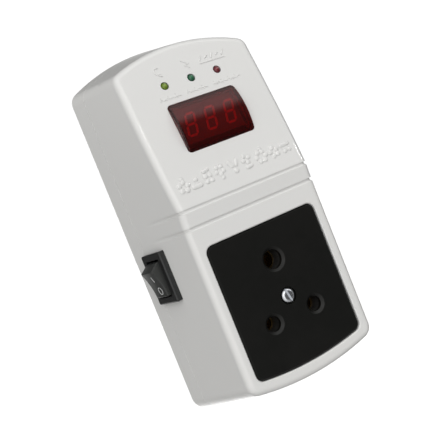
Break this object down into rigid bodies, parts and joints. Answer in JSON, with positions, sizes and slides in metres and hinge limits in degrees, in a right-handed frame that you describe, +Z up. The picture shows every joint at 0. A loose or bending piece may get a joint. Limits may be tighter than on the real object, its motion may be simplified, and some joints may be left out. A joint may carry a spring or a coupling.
{
  "type": "plug-in outlet voltage tester",
  "caption": "Plug-in mains voltage tester and protector with digital readout, indicator lamps, rocker switch, round-pin plug at the rear and a pass-through outlet.",
  "frame": {"origin": "flat rear face, on the centre line midway between the earth pin and the line/neutral pair", "axes": "+Z up, +X to the right seen from the front, front faces -Y, plug pins point +Y"},
  "size_m": [0.0814, 0.0602, 0.1499],
  "materials": {
    "white_shell": "glossy moulded ABS",
    "black_cover": "satin black moulded",
    "black_switch": "satin black moulded",
    "red_lens": "transparent dark red acrylic",
    "display_black": "dark potted module",
    "segment_red": "unlit red segments",
    "led_yellow_green": "tinted diffused lens",
    "led_green": "tinted diffused lens",
    "led_red": "tinted diffused lens",
    "board_green": "solder-masked glass-epoxy board",
    "zinc_steel": "bright zinc plated",
    "soft_iron": "plated soft iron",
    "brass": "machined",
    "contact_copper": "spring copper",
    "winding": "enamelled copper winding",
    "spring_steel": "drawn wire",
    "carrier_grey": "moulded",
    "relay_blue": "moulded case",
    "relay_black": "moulded",
    "film_yellow": "boxed film capacitor",
    "can_black": "sleeved aluminium can",
    "disc_blue": "epoxy-coated disc",
    "clear_glass": "drawn tube",
    "end_cap": "nickel plated",
    "resistor_tan": "lacquered film resistors",
    "terminal_green": "moulded",
    "wire_red": "PVC insulated wire",
    "wire_brown": "PVC insulated wire",
    "wire_black": "PVC insulated wire",
    "wire_green": "PVC insulated wire"
  },
  "bodies": {
    "housing": {"board_screws": "zinc_steel", "carrier_screws": "zinc_steel", "contact_carrier": "carrier_grey", "control_board": "board_green", "display_module": "display_black", "display_segments": "segment_red", "display_window": "red_lens", "dropper_capacitor": "film_yellow", "earth_pin": "brass", "earth_sleeve": "brass", "earth_wire": "wire_green", "filter_capacitor": "can_black", "front_housing": "white_shell", "fuse_clips": "contact_copper", "fuse_end_caps": "end_cap", "fuse_glass": "clear_glass", "housing_screws": "zinc_steel", "led_fault": "led_red", "led_normal": "led_yellow_green", "led_power": "led_green", "line_pin": "brass", "line_sleeve": "brass", "line_wire": "wire_red", "load_wire": "wire_brown", "microcontroller": "relay_black", "neutral_pin": "brass", "neutral_sleeve": "brass", "neutral_wire": "wire_black", "outlet_cover_plate": "black_cover", "outlet_screw": "zinc_steel", "pin_carrier": "carrier_grey", "pin_screws": "zinc_steel", "rear_housing": "white_shell", "relay_base": "relay_black", "relay_bobbin": "relay_black", "relay_case": "relay_blue", "relay_coil": "winding", "relay_core": "soft_iron", "relay_fixed_contact": "contact_copper", "relay_yoke": "soft_iron", "resistors": "resistor_tan", "sense_wire": "wire_black", "sleeve_screws": "zinc_steel", "switch_common_terminal": "brass", "switch_frame": "black_switch", "switch_load_terminal": "brass", "switched_wire": "wire_red", "terminal_block": "terminal_green", "terminal_block_screws": "zinc_steel", "threaded_insert": "brass", "varistor": "disc_blue", "voltage_regulator": "relay_black"},
    "rocker": {"rocker_button": "black_switch", "plunger_spring": "spring_steel"},
    "plunger": {"plunger": "brass"},
    "contact_lever": {"contact_lever": "contact_copper"},
    "armature": {"relay_armature": "soft_iron", "relay_contact_spring": "contact_copper"}
  },
  "joints": [
    {"name": "rocker_tilt", "type": "hinge", "parent": "housing", "child": "rocker", "pos_m": [-0.03539, -0.01533, 0.0196], "axis": [-0.2562, 0.9666, 0], "range_deg": [0, 30]},
    {"name": "plunger_slide", "type": "slide", "parent": "rocker", "child": "plunger", "axis": [-0.9337, -0.2474, -0.2588], "range_m": [0, 0.0008], "stiffness_N_per_m": 20, "springref_m": -0.001},
    {"name": "contact_lever_tilt", "type": "hinge", "parent": "housing", "child": "contact_lever", "pos_m": [-0.02684, -0.01306, 0.0196], "axis": [-0.2562, 0.9666, 0], "range_deg": [-16, 0]},
    {"name": "armature_tilt", "type": "hinge", "parent": "housing", "child": "armature", "pos_m": [-0.0067, -0.00951, 0.06412], "axis": [0, 0.1904, 0.9817], "range_deg": [0, 4], "stiffness_Nm_per_rad": 0.001, "springref_deg": -8.59}
  ],
  "couplings": [
    {"joint": "contact_lever_tilt", "follows": "rocker_tilt", "ratio": -0.53333}
  ]
}
